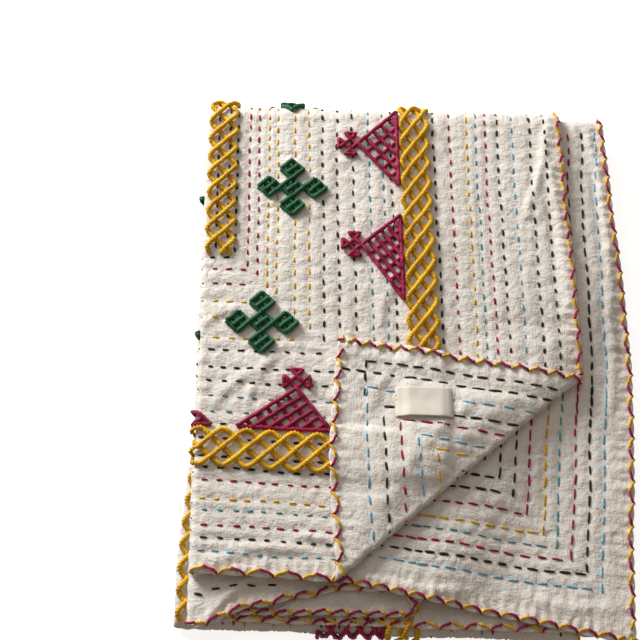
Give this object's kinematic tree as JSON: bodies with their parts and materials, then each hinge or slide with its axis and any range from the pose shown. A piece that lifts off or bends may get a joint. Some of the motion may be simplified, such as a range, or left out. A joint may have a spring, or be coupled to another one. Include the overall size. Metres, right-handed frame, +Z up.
{
  "type": "folded throw blanket",
  "caption": "Quilted cotton throw folded to eight layers, with one corner turned back to show its stitched back and a blank label.",
  "frame": {"origin": "middle of the folded stack's box, on the surface that it lies on", "axes": "+Z up; +Y from the near end with the turned corner to the far fold; +X from the side fold to the free side edges"},
  "size_m": [0.4478, 0.577, 0.0502],
  "materials": {
    "quilted_cotton": "matte crinkled cotton with running stitches",
    "woven_tape": "matte woven cotton tape",
    "crimson_floss": "stranded cotton embroidery thread, softly lustrous",
    "yellow_floss": "stranded cotton embroidery thread, softly lustrous",
    "green_floss": "stranded cotton embroidery thread, softly lustrous",
    "black_floss": "stranded cotton embroidery thread, softly lustrous",
    "teal_floss": "stranded cotton embroidery thread, softly lustrous",
    "sky_floss": "stranded cotton embroidery thread, softly lustrous"
  },
  "bodies": {
    "root": {"throw_cloth": "quilted_cotton", "blank_label": "woven_tape"}
  },
  "joints": []
}
